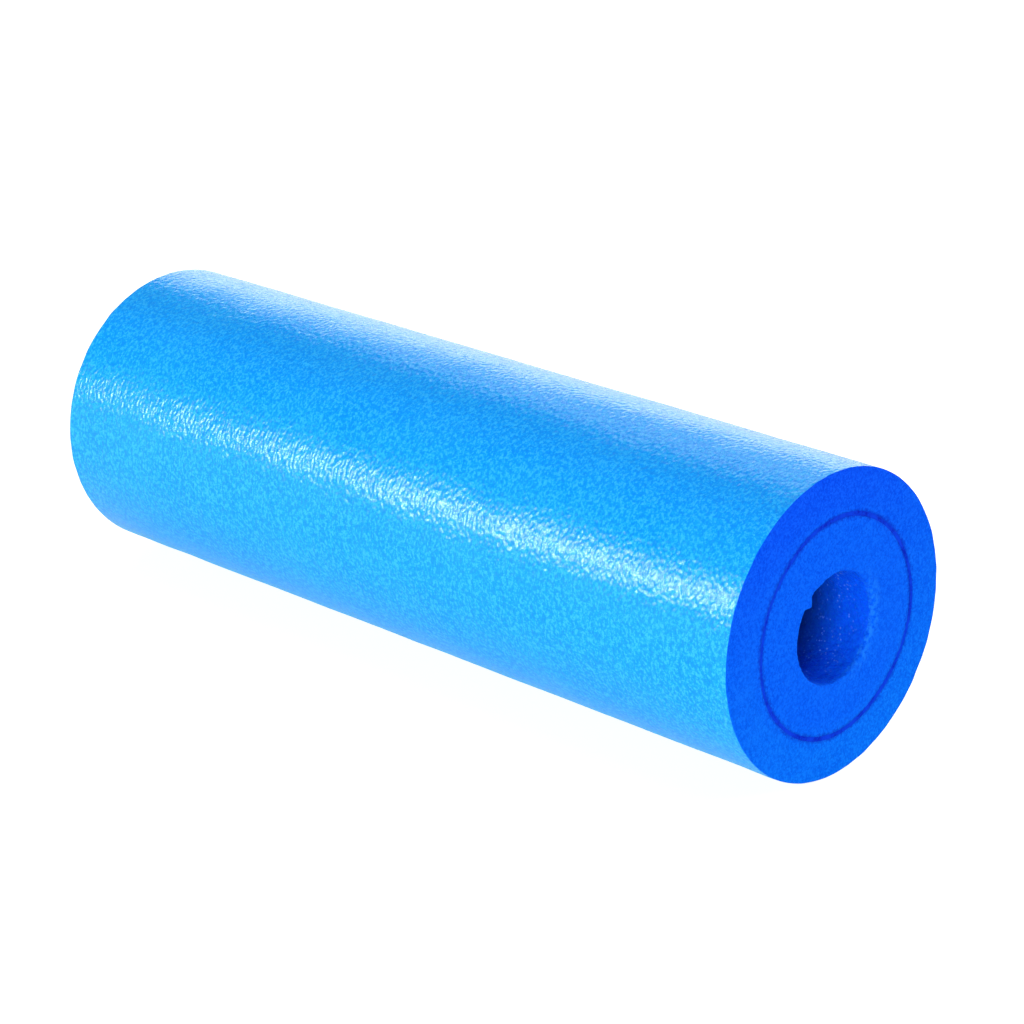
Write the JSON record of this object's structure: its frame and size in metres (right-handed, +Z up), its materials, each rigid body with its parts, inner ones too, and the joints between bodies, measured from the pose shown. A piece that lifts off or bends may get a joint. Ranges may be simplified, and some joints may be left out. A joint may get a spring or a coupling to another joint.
{
  "type": "foam roller",
  "caption": "Cylindrical two-layer foam roller with a firm foam core, a softer foam sleeve welded around it and a plain bore through its middle.",
  "frame": {"origin": "on the surface that the roller lies on, under the middle of its length", "axes": "+X along the roller's axis, towards the end that shows its full face in the usual view; +Y level, across the roller; +Z up"},
  "size_m": [0.45, 0.145, 0.145],
  "materials": {
    "sleeve_foam": "soft closed-cell foam, satin pebbled skin outside, matt where cut",
    "bond_melt": "foam melted dense, matt",
    "core_foam": "firm closed-cell foam, matt where cut, glossy in the bore"
  },
  "bodies": {
    "root": {"outer_sleeve": "sleeve_foam", "bond_layer": "bond_melt", "inner_core": "core_foam"}
  },
  "joints": []
}
